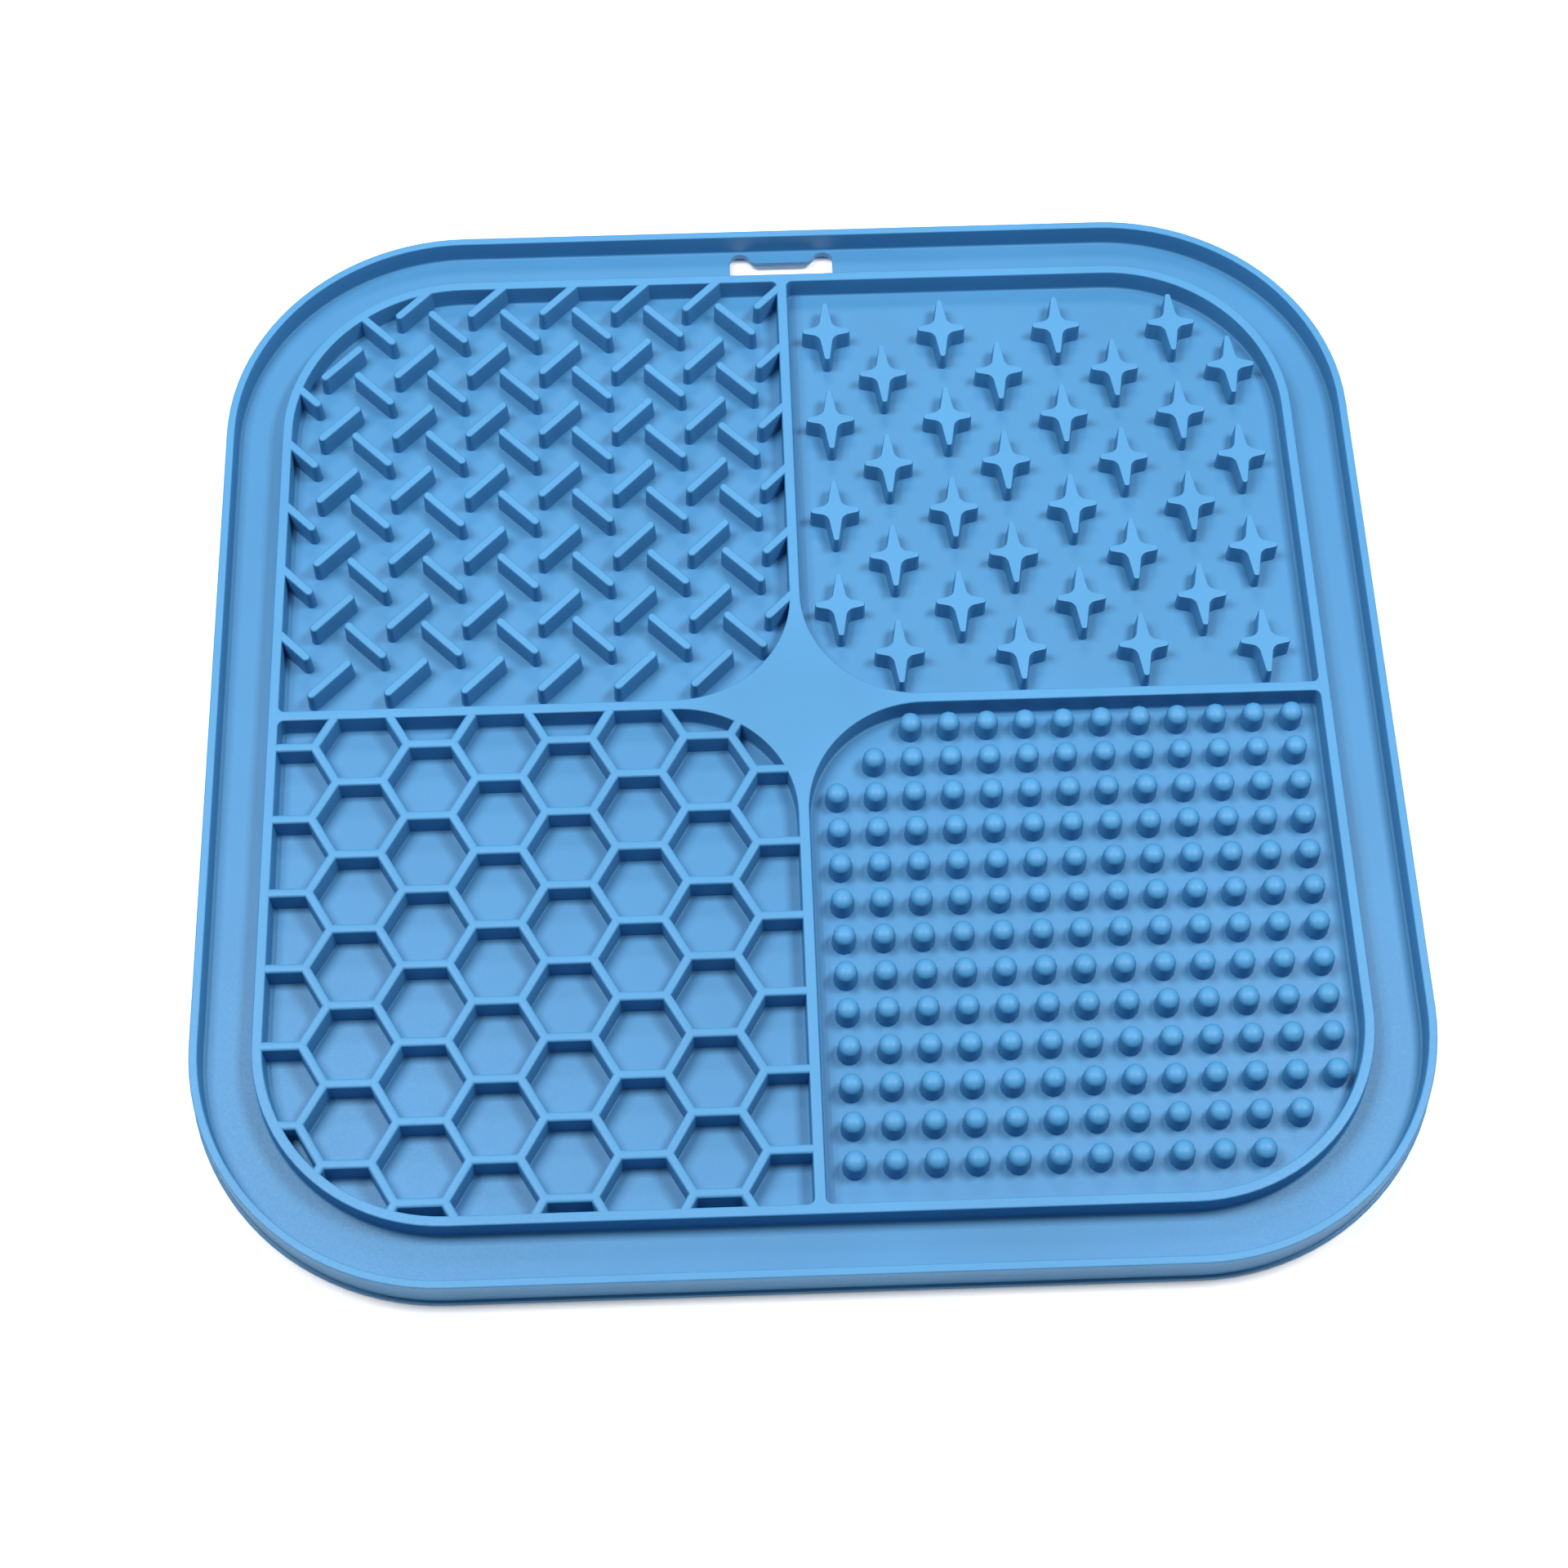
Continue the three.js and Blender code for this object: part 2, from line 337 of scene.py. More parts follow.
def round_corner(x, y, z, radius, segments):
    """Rounds the outline's corner at a place, in edit mode."""
    place = Vector((x, y, z))
    pick("VERT", lambda v: (v.co - place).length < HAIR)
    bpy.ops.mesh.bevel(offset=radius, segments=segments, affect="VERTICES", clamp_overlap=False)


def quarter_turn(radius, leaves_wall, rise, segments=PLAIN_EDGE):
    """Inset steps round a quarter circle, from a wall to a flat or from a flat to a wall."""
    steps = []
    for i in range(segments):
        a = math.radians(90 * i / segments)
        b = math.radians(90 * (i + 1) / segments)
        along = radius * (math.sin(b) - math.sin(a))
        across = radius * (math.cos(a) - math.cos(b))
        steps.append((across, rise * along) if leaves_wall else (along, rise * across))
    return steps


def inset(steps, even=True):
    """Insets the selected face by each step in turn: how far inward, and how far up."""
    for inward, up in steps:
        bpy.ops.mesh.inset(thickness=inward, depth=up, use_even_offset=even)


def apply_modifier(piece, kind, name, **settings):
    """Adds a modifier with its settings and applies it."""
    choose(piece)
    modifier = piece.modifiers.new(name, kind)
    for key, value in settings.items():
        setattr(modifier, key, value)
    bpy.ops.object.modifier_apply(modifier=modifier.name)


def boolean(piece, tool, operation):
    """Cuts or trims a piece with a tool, which is used up."""
    name = operation.lower()
    apply_modifier(piece, "BOOLEAN", name, object=tool, operation=operation, solver="EXACT")
    bpy.data.objects.remove(tool)


def spread(piece, places):
    """Copies a piece to each place, the last of them the piece itself, and joins them."""
    copies = []
    for x, y in places[:-1]:
        copy = piece.copy()
        copy.data = piece.data.copy()
        copy.location = (x, y, 0)
        bpy.context.scene.collection.objects.link(copy)
        copies.append(copy)
    piece.location = (*places[-1], 0)
    choose(piece)
    for copy in copies:
        copy.select_set(True)
    bpy.ops.object.join()
    bpy.ops.object.transform_apply(location=True, rotation=True, scale=True)
    return piece


def finish_piece(piece):
    """Smooths a piece, gives it its material and ties it to the frame."""
    choose(piece)
    bpy.ops.object.mode_set(mode="EDIT")
    bpy.ops.mesh.select_all(action="SELECT")
    bpy.ops.mesh.normals_make_consistent(inside=False)
    bpy.ops.object.mode_set(mode="OBJECT")
    bpy.ops.object.shade_smooth_by_angle(angle=SMOOTH_ANGLE)
    apply_modifier(piece, "WEIGHTED_NORMAL", "flat_tops", keep_sharp=True, weight=100)
    piece.data.materials.clear()
    piece.data.materials.append(silicone_material())
    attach(piece, BODY)
    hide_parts(NODE)


def ring_inner(sizes):
    """Half the distance between the ring's opposite inner faces, at the wall tops."""
    return sizes.side / 2 - sizes.lip_width - sizes.draft - sizes.rim - sizes.gutter - sizes.ring


def quarter_outline(sizes, sign_x, sign_y, grow):
    """A quarter's corners at the pad and at the mat's corner, and each corner's rounding.

    The quarter is grown outward on every side.
    """
    near_x = sizes.cross_x + sign_x * (sizes.cross / 2 - grow)
    near_y = sizes.cross_y + sign_y * (sizes.cross / 2 - grow)
    far = ring_inner(sizes) + grow
    corners = {
        (near_x, near_y): (sizes.pad_radius + grow, WIDE_CORNER),
        (sign_x * far, near_y): (sizes.fillet + grow, SMALL_CORNER),
        (sign_x * far, sign_y * far): (far - sizes.corner_centre, WIDE_CORNER),
        (near_x, sign_y * far): (sizes.fillet + grow, SMALL_CORNER),
    }
    return (near_x, near_y), (sign_x * far, sign_y * far), corners


def pick_quarter(sign_x, sign_y, z):
    """Selects, in edit mode, the face with a quarter's outline at a height."""

    def is_quarter(face):
        centre = face.calc_center_median()
        if not near(centre.z, z) or len(face.verts) <= MANY_CORNERS:
            return False
        return centre.x * sign_x > 0 and centre.y * sign_y > 0

    pick("FACE", is_quarter)


def add_quarter(sizes, sign_x, sign_y, z, grow):
    """Adds the outline of a quarter as one face, in edit mode, and leaves it selected."""
    start, end, corners = quarter_outline(sizes, sign_x, sign_y, grow)
    centre = ((start[0] + end[0]) / 2, (start[1] + end[1]) / 2, z)
    bpy.ops.mesh.primitive_plane_add(size=1, location=centre)
    size = (abs(end[0] - start[0]), abs(end[1] - start[1]), 1)
    bpy.ops.transform.resize(value=size, center_override=centre)
    for (x, y), (radius, segments) in corners.items():
        round_corner(x, y, z, radius, segments)
    pick_quarter(sign_x, sign_y, z)


def tray_block(sizes):
    """The tray from its foot over the rim and the gutter to the ring's outer edge."""
    half = sizes.side / 2 - LIP_EDGE
    bpy.ops.mesh.primitive_plane_add(size=2 * half)
    bpy.ops.object.mode_set(mode="EDIT")
    for sign_x, sign_y in QUARTERS:
        round_corner(sign_x * half, sign_y * half, 0, half - sizes.corner_centre, WIDE_CORNER)
    bpy.ops.mesh.select_all(action="SELECT")
    bpy.ops.mesh.extrude_region_move(TRANSFORM_OT_translate={"value": (0, 0, LIP_EDGE)})
    widen = sizes.side / 2 / half
    bpy.ops.transform.resize(value=(widen, widen, 1), center_override=(0, 0, LIP_EDGE))
    edge = sizes.edge
    wall = sizes.height - sizes.base - edge - sizes.foot
    outer = sizes.height - sizes.lip_height - edge
    floor = sizes.gutter - 2 * sizes.draft - 2 * sizes.foot
    steps = [(HAIR, sizes.lip_height - 2 * LIP_EDGE)]
    steps += quarter_turn(LIP_EDGE, True, 1)
    steps += [(sizes.lip_width - LIP_EDGE - HAIR, 0), (sizes.draft, outer)]
    steps += quarter_turn(edge, True, 1)
    steps += [(sizes.rim - 2 * edge, 0)]
    steps += quarter_turn(edge, False, -1)
    steps += [(sizes.draft, -wall)]
    steps += quarter_turn(sizes.foot, True, -1)
    steps += [(floor, 0)]
    steps += quarter_turn(sizes.foot, False, 1)
    steps += [(sizes.draft, wall)]
    steps += quarter_turn(edge, True, 1)
    inset(steps)


def sink_quarters(sizes):
    """Cuts the four quarters down to their floor, which leaves the ring, the cross and the pad."""
    top = sizes.height
    bpy.ops.mesh.delete(type="ONLY_FACE")
    for sign_x, sign_y in QUARTERS:
        add_quarter(sizes, sign_x, sign_y, top, sizes.edge)
    pick("EDGE", lambda e: near(middle(e).z, top) and len(e.link_faces) == 1)
    bpy.ops.mesh.fill(use_beauty=True)
    steps = quarter_turn(sizes.edge, False, -1)
    steps += [(sizes.draft, -(top - sizes.base - sizes.edge - sizes.foot))]
    steps += quarter_turn(sizes.foot, True, -1)
    for sign_x, sign_y in QUARTERS:
        pick_quarter(sign_x, sign_y, top)
        inset(steps)


def add_outline(points, z):
    """Adds a face with a corner at each point, moved there from a circle's corners."""
    bpy.ops.mesh.primitive_circle_add(
        vertices=len(points), radius=MM, fill_type="NGON", location=(0, 0, z)
    )
    bpy.ops.object.transform_apply(location=True, rotation=False, scale=False)
    bpy.ops.object.mode_set(mode="EDIT")
    for index, (x, y) in enumerate(points):
        pick("VERT", lambda v: v.index == index)
        corner = next(v.co for v in bmesh.from_edit_mesh(bpy.context.object.data).verts if v.select)
        bpy.ops.transform.translate(value=Vector((x, y, 0)) - Vector((corner.x, corner.y, 0)))


def raise_outline(height):
    """Raises the outline's face, in edit mode, and leaves the raised face selected."""
    bpy.ops.mesh.select_all(action="SELECT")
    bpy.ops.mesh.remove_doubles(threshold=MERGE)
    bpy.ops.mesh.select_mode(type="FACE")
    bpy.ops.mesh.extrude_region_move(TRANSFORM_OT_translate={"value": (0, 0, height)})


def place_cutter(y, z):
    """Moves the cutter that was just raised to its place, and leaves edit mode."""
    bpy.ops.mesh.select_all(action="SELECT")
    bpy.ops.transform.translate(value=(0, y, z))
    bpy.ops.object.mode_set(mode="OBJECT")
    return bpy.context.object


def slot_cutter(sizes):
    """The hanging slot, in the outline of a bone: two lobes at each end of a shank."""
    lobe = sizes.slot_lobe
    lobe_x, lobe_y = sizes.slot_lobe_x, sizes.slot_lobe_y
    shank = sizes.slot_shank
    top = lobe_y + lobe
    slant = math.tan(math.radians(30))
    inner_top = lobe_x - lobe * slant
    neck = inner_top - (top - shank) * slant
    quarter = [(lobe_x + lobe, shank), (lobe_x + lobe, top), (inner_top, top), (neck, shank)]
    reaches = [SLOT_END, lobe, lobe * slant, SLOT_NECK]
    half = quarter + [(-x, y) for x, y in reversed(quarter)]
    points = half + [(-x, -y) for x, y in half]
    add_outline(points, 0)
    for (x, y), reach in zip(points, 2 * (reaches + reaches[::-1])):
        round_corner(x, y, 0, reach, SLOT_CORNER)
    raise_outline(sizes.height)
    below_foot = sizes.height / 4
    return place_cutter(sizes.slot_y, -below_foot)


def recess_cutter(sizes):
    """The shallow recess in the underside, around the slot."""
    x, y = sizes.recess_x, sizes.recess_y
    points = [(x, y), (-x, y), (-x, -y), (x, -y)]
    add_outline(points, 0)
    for corner in points:
        round_corner(*corner, 0, sizes.recess_radius, SLOT_CORNER)
    raise_outline(sizes.base)
    return place_cutter(sizes.slot_y, -sizes.slot_floor)


class LICKMAT_OT_tray(bpy.types.Operator):
    """Add the tray: plate, rim, gutter, ring wall, cross, pad and hanging slot"""

    bl_idname = "lickmat.tray"
    bl_label = "Tray"

    def execute(self, context):
        sizes = context.scene.lickmat_tray
        deselect()
        tray_block(sizes)
        sink_quarters(sizes)
        bpy.ops.mesh.select_all(action="SELECT")
        bpy.ops.mesh.normals_make_consistent(inside=False)
        bpy.ops.object.mode_set(mode="OBJECT")
        tray = named("tray")
        for make_cutter in (slot_cutter, recess_cutter):
            deselect()
            boolean(tray, make_cutter(sizes), "DIFFERENCE")
        finish_piece(tray)
        return {"FINISHED"}


def trim_to_quarter(piece, tray, sign_x, sign_y):
    """Cuts off what runs too far into the walls around a quarter."""
    deselect()
    bpy.ops.mesh.primitive_plane_add(size=MM)
    bpy.ops.object.mode_set(mode="EDIT")
    bpy.ops.mesh.delete(type="FACE")
    inside_plate = tray.base / 2
    past_top = 2 * tray.height
    add_quarter(tray, sign_x, sign_y, inside_plate, INTO_WALL)
    bpy.ops.mesh.extrude_region_move(TRANSFORM_OT_translate={"value": (0, 0, past_top)})
    bpy.ops.mesh.select_all(action="SELECT")
    bpy.ops.mesh.normals_make_consistent(inside=False)
    bpy.ops.object.mode_set(mode="OBJECT")
    boolean(piece, bpy.context.object, "INTERSECT")


def make_bar(tray, sizes, name, turn):
    """One bar with round ends and a round top, in the middle of the mat."""
    half_length = sizes.bar_length / 2
    half_width = sizes.bar_width / 2
    low = tray.base - sizes.root
    points = [(half_length, -half_width), (half_length, half_width),
              (-half_length, half_width), (-half_length, -half_width)]
    add_outline(points, low)
    for x, y in points:
        round_corner(x, y, low, half_width, SMALL_CORNER)
    raise_outline(sizes.root)
    wall = tray.height - sizes.below_top - tray.base - sizes.bar_crown
    inset([(sizes.bar_draft, wall)] + quarter_turn(sizes.bar_crown, True, 1, FINE_EDGE))
    bpy.ops.object.mode_set(mode="OBJECT")
    bar = named(name)
    bar.rotation_euler.z = math.radians(turn)
    choose(bar)
    bpy.ops.object.transform_apply(location=False, rotation=True, scale=False)
    return bar


class LICKMAT_OT_bars(bpy.types.Operator):
    """Add the bars of the back left quarter, which rise and fall in turn"""

    bl_idname = "lickmat.bars"
    bl_label = "Bars"

    def execute(self, context):
        tray = context.scene.lickmat_tray
        sizes = context.scene.lickmat_textures
        kinds = []
        for name, turn, first_x, first_y, rows in (
            ("rising", 45, sizes.rising_x, sizes.rising_y, RISING_ROWS),
            ("falling", -45, sizes.falling_x, sizes.falling_y, FALLING_ROWS),
        ):
            places = [
                (first_x + column * sizes.bar_pitch, first_y + row * sizes.bar_pitch)
                for column in BAR_COLUMNS for row in rows
            ]
            kinds.append(spread(make_bar(tray, sizes, name, turn), places))
        choose(kinds[0])
        kinds[1].select_set(True)
        bpy.ops.object.join()
        piece = named("bars")
        trim_to_quarter(piece, tray, -1, 1)
        finish_piece(piece)
        return {"FINISHED"}


def make_star(tray, sizes):
    """One star with four blunt points, the longer ones to the back and front."""
    low = tray.base - sizes.root
    tip = sizes.star_tip
    out_x, out_y = sizes.star_width / 2, sizes.star_length / 2
    waist_x, waist_y = sizes.star_waist_x, sizes.star_waist_y
    half = [(tip, out_y), (-tip, out_y), (-waist_x, waist_y),
            (-out_x, tip), (-out_x, -tip), (-waist_x, -waist_y)]
    points = half + [(-x, -y) for x, y in half]
    tip_round = (TIP_SHARE * tip, TIP_CORNER)
    waist_round = (sizes.star_fillet, SMALL_CORNER)
    add_outline(points, low)
    for (x, y), (reach, segments) in zip(points, 4 * [tip_round, tip_round, waist_round]):
        round_corner(x, y, low, reach, segments)
    raise_outline(sizes.root)
    wall = tray.height - sizes.star_drop - tray.base - sizes.star_edge
    inset([(sizes.star_draft, wall)], even=False)
    longer, wider = [(out - sizes.star_lean) / (out - sizes.star_draft) for out in (out_y, out_x)]
    bpy.ops.transform.resize(value=(wider, longer, 1), center_override=(0, 0, tray.base + wall))
    inset(quarter_turn(sizes.star_edge, True, 1, COARSE_EDGE), even=False)
    bpy.ops.object.mode_set(mode="OBJECT")
    return named("stars")


class LICKMAT_OT_stars(bpy.types.Operator):
    """Add the staggered stars of the back right quarter"""

    bl_idname = "lickmat.stars"
    bl_label = "Stars"

    def execute(self, context):
        tray = context.scene.lickmat_tray
        sizes = context.scene.lickmat_textures
        deselect()
        places = [
            (sizes.star_x + (row % 2) * sizes.star_shift + column * sizes.star_pitch_x,
             sizes.star_y - row * sizes.star_pitch_y)
            for row in STAR_ROWS for column in STAR_COLUMNS
        ]
        piece = spread(make_star(tray, sizes), places)
        finish_piece(piece)
        return {"FINISHED"}


def make_cell(tray, sizes):
    """One honeycomb cell: half the thickness of the walls around it, down to its floor."""
    top = tray.height - sizes.below_top
    side = sizes.cell_side
    corners = 6
    turn = 360 / corners
    reach = side - (sizes.cell_wall / 2 - sizes.cell_crown) / math.cos(math.radians(turn / 2))
    points = [
        (reach * math.cos(math.radians(turn * i)), reach * math.sin(math.radians(turn * i)))
        for i in range(corners)
    ]
    add_outline(points, top)
    bpy.ops.mesh.primitive_circle_add(
        vertices=corners, radius=side, fill_type="NOTHING", location=(0, 0, top),
        rotation=(0, 0, math.radians(turn / 2)),
    )
    bpy.ops.mesh.select_all(action="SELECT")
    bpy.ops.mesh.fill(use_beauty=True)
    pick("FACE", lambda f: len(f.verts) == corners)
    wall = top - tray.base - sizes.cell_crown - sizes.cell_foot
    steps = quarter_turn(sizes.cell_crown, False, -1)
    steps += [(tray.draft, -wall)]
    steps += quarter_turn(sizes.cell_foot, True, -1, COARSE_EDGE)
    steps += [(HAIR, -sizes.root)]
    inset(steps)
    bpy.ops.object.mode_set(mode="OBJECT")
    return named("honeycomb")


class LICKMAT_OT_honeycomb(bpy.types.Operator):
    """Add the honeycomb walls of the front left quarter"""

    bl_idname = "lickmat.honeycomb"
    bl_label = "Honeycomb"

    def execute(self, context):
        tray = context.scene.lickmat_tray
        sizes = context.scene.lickmat_textures
        deselect()
        column_pitch = 1.5 * sizes.cell_side
        row_pitch = math.sqrt(3) * sizes.cell_side
        places = [
            (sizes.cell_x + column * column_pitch,
             sizes.cell_y - (column % 2) * row_pitch / 2 + row * row_pitch)
            for column in CELL_COLUMNS for row in CELL_ROWS
        ]
        piece = spread(make_cell(tray, sizes), places)
        choose(piece)
        bpy.ops.object.mode_set(mode="EDIT")
        bpy.ops.mesh.select_all(action="SELECT")
        bpy.ops.mesh.remove_doubles(threshold=HAIR)
        top = tray.height - sizes.below_top
        down_into_plate = 0.8 * top
        pick("EDGE", lambda e: len(e.link_faces) == 1 and near(middle(e).z, top))
        bpy.ops.mesh.extrude_region_move(
            TRANSFORM_OT_translate={"value": (0, 0, -down_into_plate)}
        )
        bpy.ops.mesh.edge_face_add()
        bpy.ops.mesh.select_all(action="SELECT")
        bpy.ops.mesh.normals_make_consistent(inside=False)
        bpy.ops.object.mode_set(mode="OBJECT")
        trim_to_quarter(piece, tray, -1, -1)
        finish_piece(piece)
        return {"FINISHED"}


def make_pin(tray, sizes):
    """One pin with a domed top and a foot that is a little wider."""
    low = tray.base - sizes.root
    shoulder = tray.height - sizes.below_top - sizes.pin_dome
    radius = sizes.pin_radius
    bpy.ops.mesh.primitive_uv_sphere_add(
        segments=PIN_SIDES, ring_count=PIN_RINGS, radius=radius, location=(0, 0, shoulder)
    )
    bpy.ops.object.transform_apply(location=True, rotation=False, scale=False)
    bpy.ops.object.mode_set(mode="EDIT")
    pick("VERT", lambda v: v.co.z < shoulder - HAIR)
    bpy.ops.mesh.delete(type="VERT")
    bpy.ops.mesh.select_all(action="SELECT")
    flatten = sizes.pin_dome / radius
    bpy.ops.transform.resize(value=(1, 1, flatten), center_override=(0, 0, shoulder))
    pick("EDGE", lambda e: len(e.link_faces) == 1)
    bpy.ops.mesh.extrude_region_move(TRANSFORM_OT_translate={"value": (0, 0, low - shoulder)})
    widen = 1 + sizes.pin_flare / radius
    bpy.ops.transform.resize(value=(widen, widen, 1), center_override=(0, 0, low))
    bpy.ops.mesh.edge_face_add()
    bpy.ops.object.mode_set(mode="OBJECT")
    return named("pins")


class LICKMAT_OT_pins(bpy.types.Operator):
    """Add the pins of the front right quarter, with none at the pad and the mat's corner"""

    bl_idname = "lickmat.pins"
    bl_label = "Pins"

    def execute(self, context):
        tray = context.scene.lickmat_tray
        sizes = context.scene.lickmat_textures
        deselect()
        first = PINS_OFF
        last = 2 * (sizes.pins - 1) - PINS_OFF
        places = [
            (sizes.pin_x + column * sizes.pin_pitch, sizes.pin_y - row * sizes.pin_pitch)
            for row in range(sizes.pins) for column in range(sizes.pins)
            if first <= row + column <= last
        ]
        piece = spread(make_pin(tray, sizes), places)
        finish_piece(piece)
        return {"FINISHED"}


class LICKMAT_OT_stage(bpy.types.Operator):
    """Add the floor, the light and the camera"""

    bl_idname = "lickmat.stage"
    bl_label = "Stage"

    def execute(self, context):
        settings = context.scene.lickmat_stage
        deselect()
        # The floor lies a little below the mat's foot, so that the two share no plane
        below_foot = (0, 0, -settings.floor_gap)
        bpy.ops.mesh.primitive_plane_add(size=settings.floor_side, location=below_foot)
        floor = named("floor")
        floor.data.materials.append(floor_material(settings))
        for name, place, size, watts in LAMPS:
            bpy.ops.object.light_add(type="AREA", location=place)
            lamp = context.object
            lamp.name = name
            lamp.data.shape = "RECTANGLE"
            lamp.data.size, lamp.data.size_y = size
            lamp.data.energy = watts
        bpy.ops.object.camera_add(location=settings.camera_place, rotation=settings.camera_turn)
        camera = context.object
        camera.data.lens = settings.lens
        camera.data.sensor_width = settings.sensor
        camera.data.clip_start = settings.near_clip
        context.scene.camera = camera
        world = bpy.data.worlds.new("room")
        world.use_nodes = True
        sky = world.node_tree.nodes["Background"]
        sky.inputs["Color"].default_value = settings.sky
        sky.inputs["Strength"].default_value = settings.sky_strength
        context.scene.world = world
        context.scene.view_settings.view_transform = "Standard"
        return {"FINISHED"}


def add_node(tree, kind, settings=None, **links):
    """Adds a shader node, sets its values and links sockets of other nodes to its inputs."""
    node = tree.nodes.new(kind)
    for key, value in (settings or {}).items():
        if isinstance(key, int) or key in node.inputs:
            node.inputs[key].default_value = value
        else:
            setattr(node, key, value)
    for key, socket in links.items():
        tree.links.new(socket, node.inputs[key.replace("_", " ")])
    return node


def per_size(size):
    """The scale that gives a noise texture blotches of about this size."""
    return 1 / size


def painted_light_mask(tree, place, finish, tray):
    """Where the highlight is painted, from 0 to 1: up the thin walls towards their tops, but less so on
    the thick pad.
    """
    height = add_node(tree, "ShaderNodeSeparateXYZ", Vector=place).outputs["Z"]
    near_top = add_node(tree, "ShaderNodeMapRange", {
        "interpolation_type": "SMOOTHSTEP",
        "From Min": finish.painted_light_from,
        "From Max": finish.painted_light_full,
    }, Value=height)
    pad_middle = (tray.cross_x, tray.cross_y, tray.height)
    from_pad = add_node(tree, "ShaderNodeVectorMath", {
        "operation": "DISTANCE", 1: pad_middle,
    }, Vector=place)
    off_pad = add_node(tree, "ShaderNodeMapRange", {
        "interpolation_type": "SMOOTHSTEP",
        "From Min": finish.pad_near,
        "From Max": finish.pad_far,
        "To Min": finish.pad_tint,
    }, Value=from_pad.outputs["Value"])
    painted_light = add_node(tree, "ShaderNodeMath", {"operation": "MULTIPLY"})
    tree.links.new(near_top.outputs["Result"], painted_light.inputs[0])
    tree.links.new(off_pad.outputs["Result"], painted_light.inputs[1])
    return painted_light.outputs["Value"]


def pigment(tree, place, finish, painted_light):
    """The silicone's colour, with faint clouds of pigment in it, made paler towards the wall tops by a
    painted highlight.
    """
    clouds = add_node(tree, "ShaderNodeTexNoise", {
        "Scale": per_size(finish.cloud), "Detail": 3.0,
    }, Vector=place)
    shade = add_node(tree, "ShaderNodeMapRange", {
        "From Min": NOISE_LOW,
        "From Max": NOISE_HIGH,
        "To Min": 1 - finish.cloud_depth,
        "To Max": 1 + finish.cloud_depth,
    }, Value=clouds.outputs["Fac"])
    # Mixes in the paler tint of the painted highlight, by the wall-top mask
    tint = add_node(tree, "ShaderNodeMix", {
        "data_type": "RGBA",
        FIRST_COLOUR: finish.silicone,
        SECOND_COLOUR: finish.painted_light_tint,
    }, Factor=painted_light)
    cloudy = add_node(tree, "ShaderNodeVectorMath", {"operation": "SCALE"})
    tree.links.new(tint.outputs[MIXED_COLOUR], cloudy.inputs[0])
    tree.links.new(shade.outputs["Result"], cloudy.inputs["Scale"])
    return cloudy.outputs["Vector"]


def blasting(tree, place, finish):
    """The roughness and the relief that a blasted mould leaves.

    Its pits are about 0.05 mm wide, and they are drawn coarser so that they show.
    """
    pits = add_node(tree, "ShaderNodeTexNoise", {
        "Scale": per_size(finish.grain), "Detail": 2.0,
    }, Vector=place)
    gloss = add_node(tree, "ShaderNodeMapRange", {
        "From Min": NOISE_LOW,
        "From Max": NOISE_HIGH,
        "To Min": finish.smoothest,
        "To Max": finish.roughest,
    }, Value=pits.outputs["Fac"])
    relief = add_node(tree, "ShaderNodeBump", {
        "Strength": finish.grain_strength, "Distance": finish.grain_depth,
    }, Height=pits.outputs["Fac"])
    return gloss.outputs["Result"], relief.outputs["Normal"]


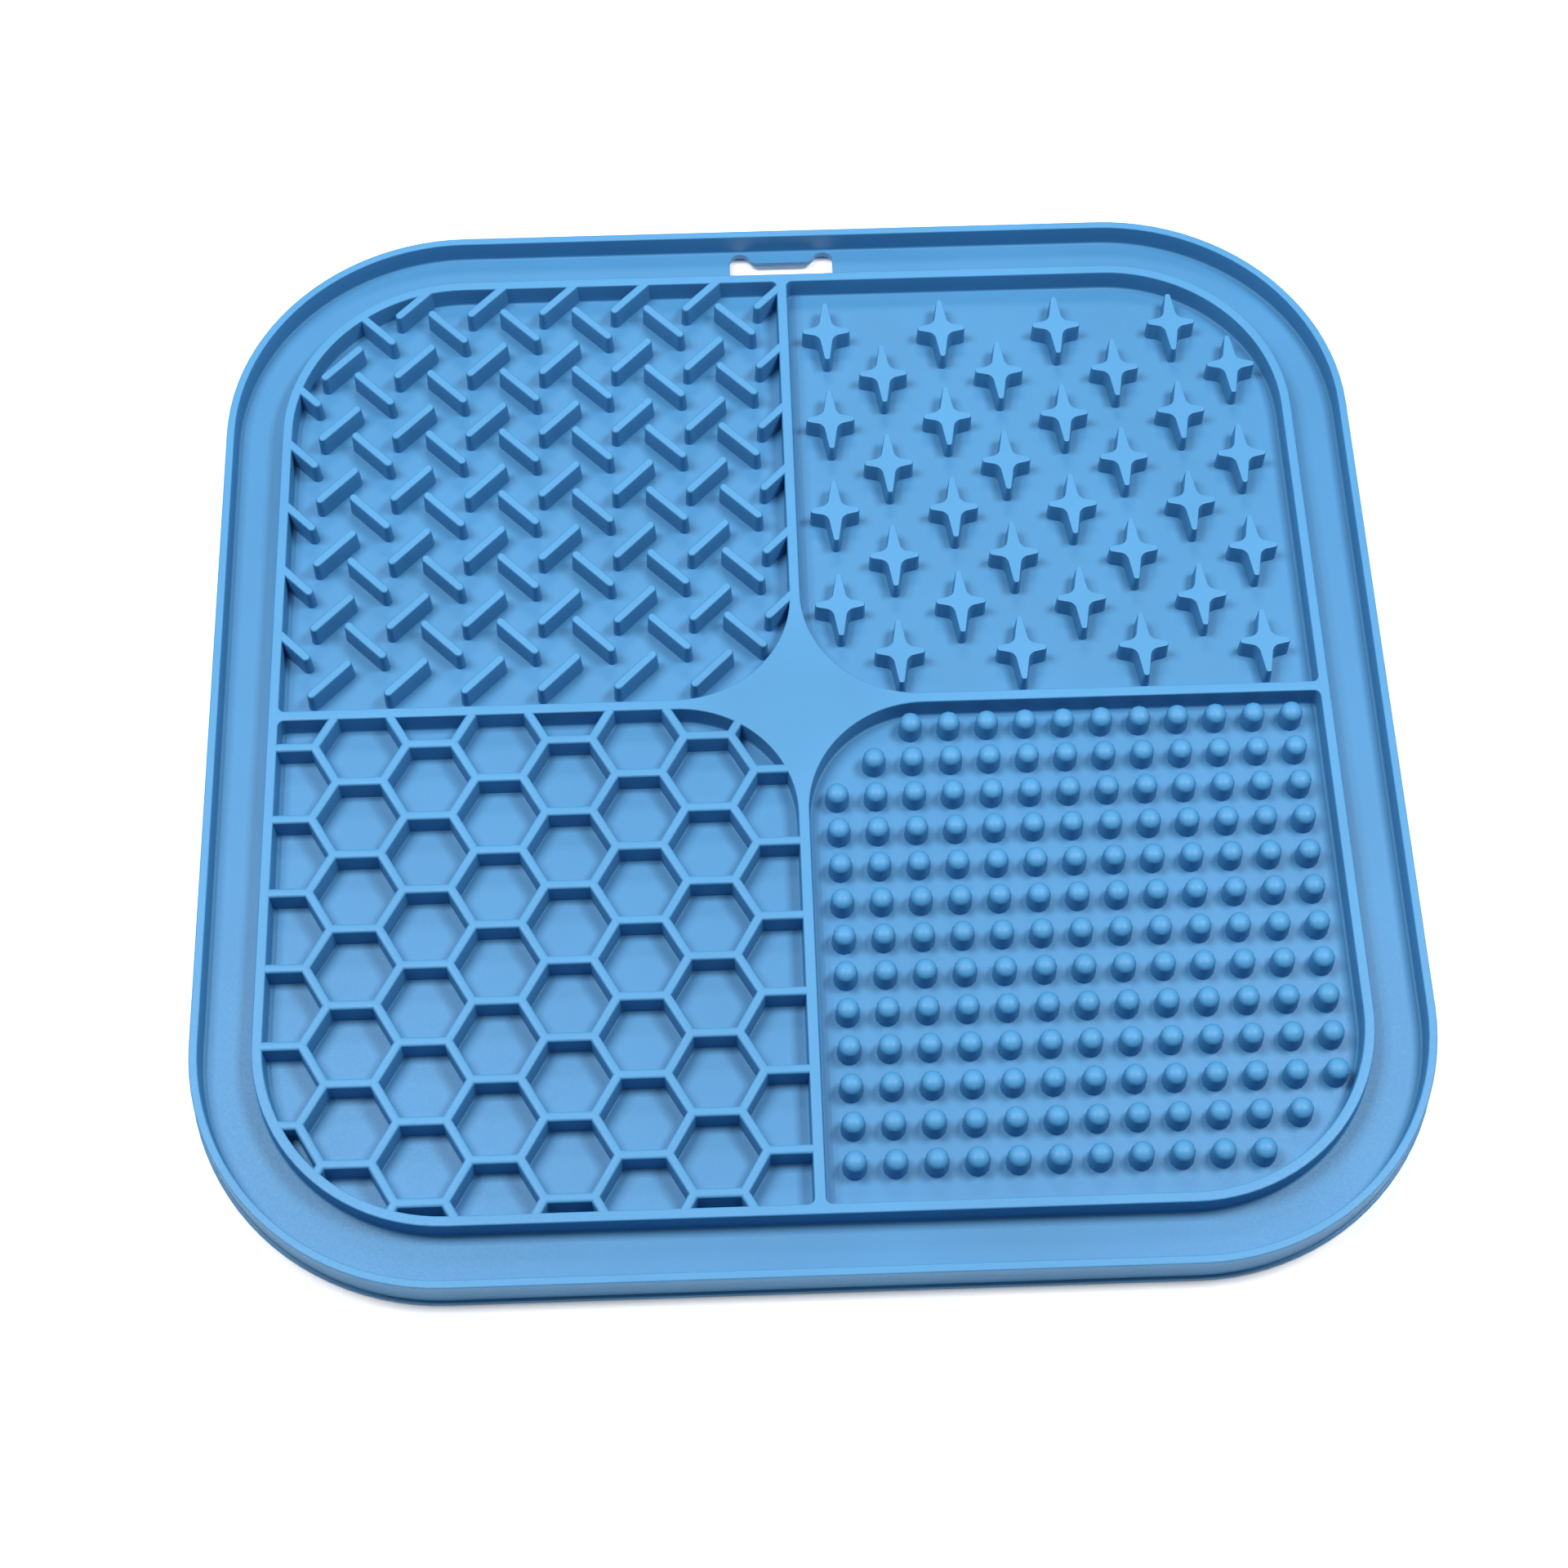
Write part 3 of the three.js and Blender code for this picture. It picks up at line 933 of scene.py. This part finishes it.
def silicone_material():
    """Pigmented silicone rubber, pressed in a finely blasted steel mould.

    It gives the eye a soft satin blue with no hard glints. The pigment lies in faint clouds, and a
    painted highlight makes the wall tops a little paler than the floor and the pad, standing in
    for light that gets into the thin walls.
    """
    name = "moulded_silicone"
    if name in bpy.data.materials:
        return bpy.data.materials[name]
    finish = bpy.context.scene.lickmat_finish
    tray = bpy.context.scene.lickmat_tray
    material = bpy.data.materials.new(name)
    material.use_nodes = True
    tree = material.node_tree
    surface = tree.nodes["Principled BSDF"]
    surface.inputs["IOR"].default_value = finish.ior
    place = add_node(tree, "ShaderNodeTexCoord").outputs["Object"]
    # Painted highlight: where the base colour turns paler towards the wall tops
    painted_light = painted_light_mask(tree, place, finish, tray)
    roughness, relief = blasting(tree, place, finish)
    tree.links.new(pigment(tree, place, finish, painted_light), surface.inputs["Base Color"])
    tree.links.new(roughness, surface.inputs["Roughness"])
    tree.links.new(relief, surface.inputs["Normal"])
    return material


def floor_material(settings):
    """Bright matt paper, which gives the eye an even white without a shine."""
    material = bpy.data.materials.new("matt_paper")
    material.use_nodes = True
    surface = material.node_tree.nodes["Principled BSDF"]
    surface.inputs["Base Color"].default_value = settings.floor
    surface.inputs["Roughness"].default_value = 0.9
    surface.inputs["Emission Color"].default_value = settings.floor
    surface.inputs["Emission Strength"].default_value = settings.floor_glow
    return material


class LICKMAT_PT_panel(bpy.types.Panel):
    """Lists the pieces in the order they are made"""

    bl_label = "Lick mat"
    bl_idname = "LICKMAT_PT_panel"
    bl_space_type = "VIEW_3D"
    bl_region_type = "UI"
    bl_category = "Lick mat"

    def draw(self, context):
        for operator in OPERATORS:
            self.layout.operator(operator.bl_idname)


OPERATORS = (
    LICKMAT_OT_tray,
    LICKMAT_OT_bars,
    LICKMAT_OT_stars,
    LICKMAT_OT_honeycomb,
    LICKMAT_OT_pins,
    LICKMAT_OT_stage,
)
SETTINGS = {
    "lickmat_tray": TraySizes,
    "lickmat_textures": TextureSizes,
    "lickmat_finish": FinishSettings,
    "lickmat_stage": StageSettings,
}
CLASSES = (*SETTINGS.values(), *OPERATORS, LICKMAT_PT_panel)


def register():
    """Registers the classes and hangs their settings on the scene."""
    for cls in CLASSES:
        bpy.utils.register_class(cls)
    for name, group in SETTINGS.items():
        setattr(bpy.types.Scene, name, bpy.props.PointerProperty(type=group))


def unregister():
    """Takes the settings and the classes away again."""
    for name in SETTINGS:
        delattr(bpy.types.Scene, name)
    for cls in reversed(CLASSES):
        bpy.utils.unregister_class(cls)


def main():
    """Makes every piece."""
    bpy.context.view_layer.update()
    register()
    bpy.ops.lickmat.tray()
    bpy.ops.lickmat.bars()
    bpy.ops.lickmat.stars()
    bpy.ops.lickmat.honeycomb()
    bpy.ops.lickmat.pins()
    bpy.ops.lickmat.stage()


if __name__ == "__main__":
    main()
